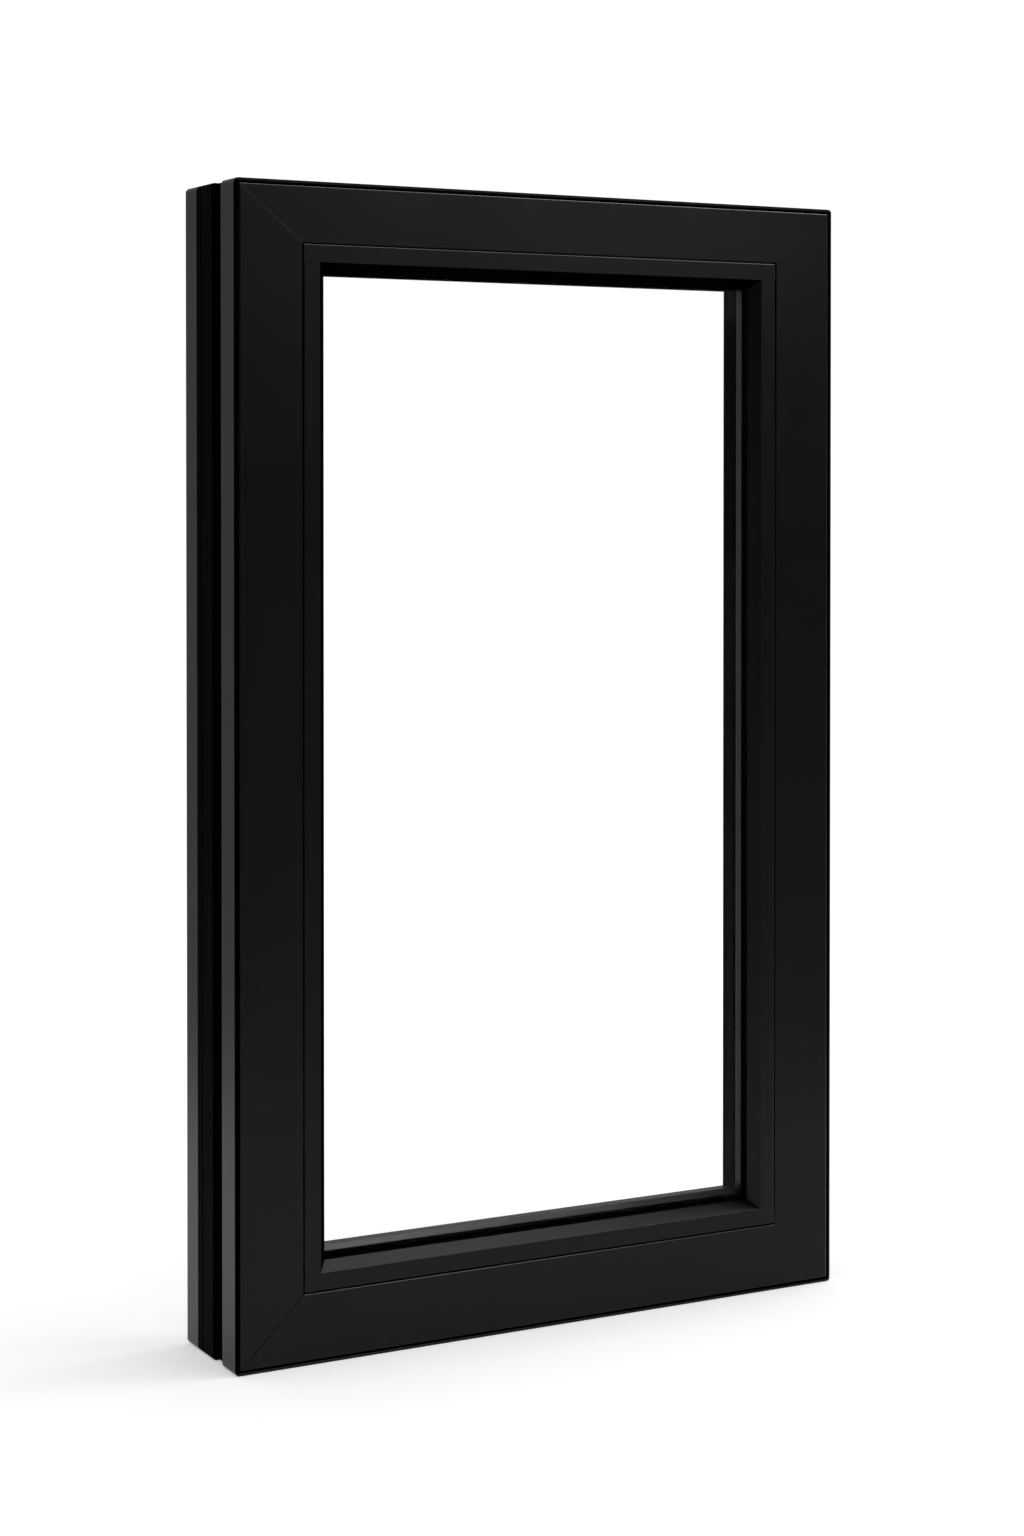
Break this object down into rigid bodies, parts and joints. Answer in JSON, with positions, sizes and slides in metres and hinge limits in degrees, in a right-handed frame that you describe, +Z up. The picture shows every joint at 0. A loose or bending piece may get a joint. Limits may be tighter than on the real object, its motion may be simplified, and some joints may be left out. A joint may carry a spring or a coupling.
{
  "type": "fixed picture window",
  "caption": "Tall fixed window: mitred black metal frame with insulating strips, square-cut glazing beads and a clear sealed glass unit.",
  "frame": {"origin": "middle of the sill's underside, at the bottom centre of the bounding box", "axes": "+X to the right seen from the front, +Y from the front face to the back, +Z up"},
  "size_m": [0.4572, 0.0826, 0.762],
  "materials": {
    "coated_metal": "matte black coated extruded metal",
    "coated_metal_rear": "matte black coated extruded metal",
    "bead_metal": "matte black coated extruded metal",
    "polyamide": "dull black glass-filled polyamide",
    "seal_rubber": "soft black gasket rubber",
    "spacer_metal": "satin mill finish",
    "sealant": "dull black edge sealant",
    "clear_glass": "clear float glass",
    "block_plastic": "dull black plastic",
    "cleat_metal": "die-cast, black passivated"
  },
  "bodies": {
    "root": {"sill_face": "coated_metal", "sill_back_shell": "coated_metal_rear", "sill_outer_strip": "polyamide", "sill_inner_strip": "polyamide", "sill_front_seal": "seal_rubber", "sill_rear_seal": "seal_rubber", "sill_spacer": "spacer_metal", "sill_edge_sealant": "sealant", "sill_bead": "bead_metal", "head_face": "coated_metal", "head_back_shell": "coated_metal_rear", "head_outer_strip": "polyamide", "head_inner_strip": "polyamide", "head_front_seal": "seal_rubber", "head_rear_seal": "seal_rubber", "head_spacer": "spacer_metal", "head_edge_sealant": "sealant", "head_bead": "bead_metal", "left_jamb_face": "coated_metal", "left_jamb_back_shell": "coated_metal_rear", "left_jamb_outer_strip": "polyamide", "left_jamb_inner_strip": "polyamide", "left_jamb_front_seal": "seal_rubber", "left_jamb_rear_seal": "seal_rubber", "left_jamb_spacer": "spacer_metal", "left_jamb_edge_sealant": "sealant", "left_jamb_bead": "bead_metal", "right_jamb_face": "coated_metal", "right_jamb_back_shell": "coated_metal_rear", "right_jamb_outer_strip": "polyamide", "right_jamb_inner_strip": "polyamide", "right_jamb_front_seal": "seal_rubber", "right_jamb_rear_seal": "seal_rubber", "right_jamb_spacer": "spacer_metal", "right_jamb_edge_sealant": "sealant", "right_jamb_bead": "bead_metal", "front_pane": "clear_glass", "rear_pane": "clear_glass", "left_setting_block": "block_plastic", "right_setting_block": "block_plastic", "top_left_cleat": "cleat_metal", "top_right_cleat": "cleat_metal", "bottom_left_cleat": "cleat_metal", "bottom_right_cleat": "cleat_metal"}
  },
  "joints": []
}
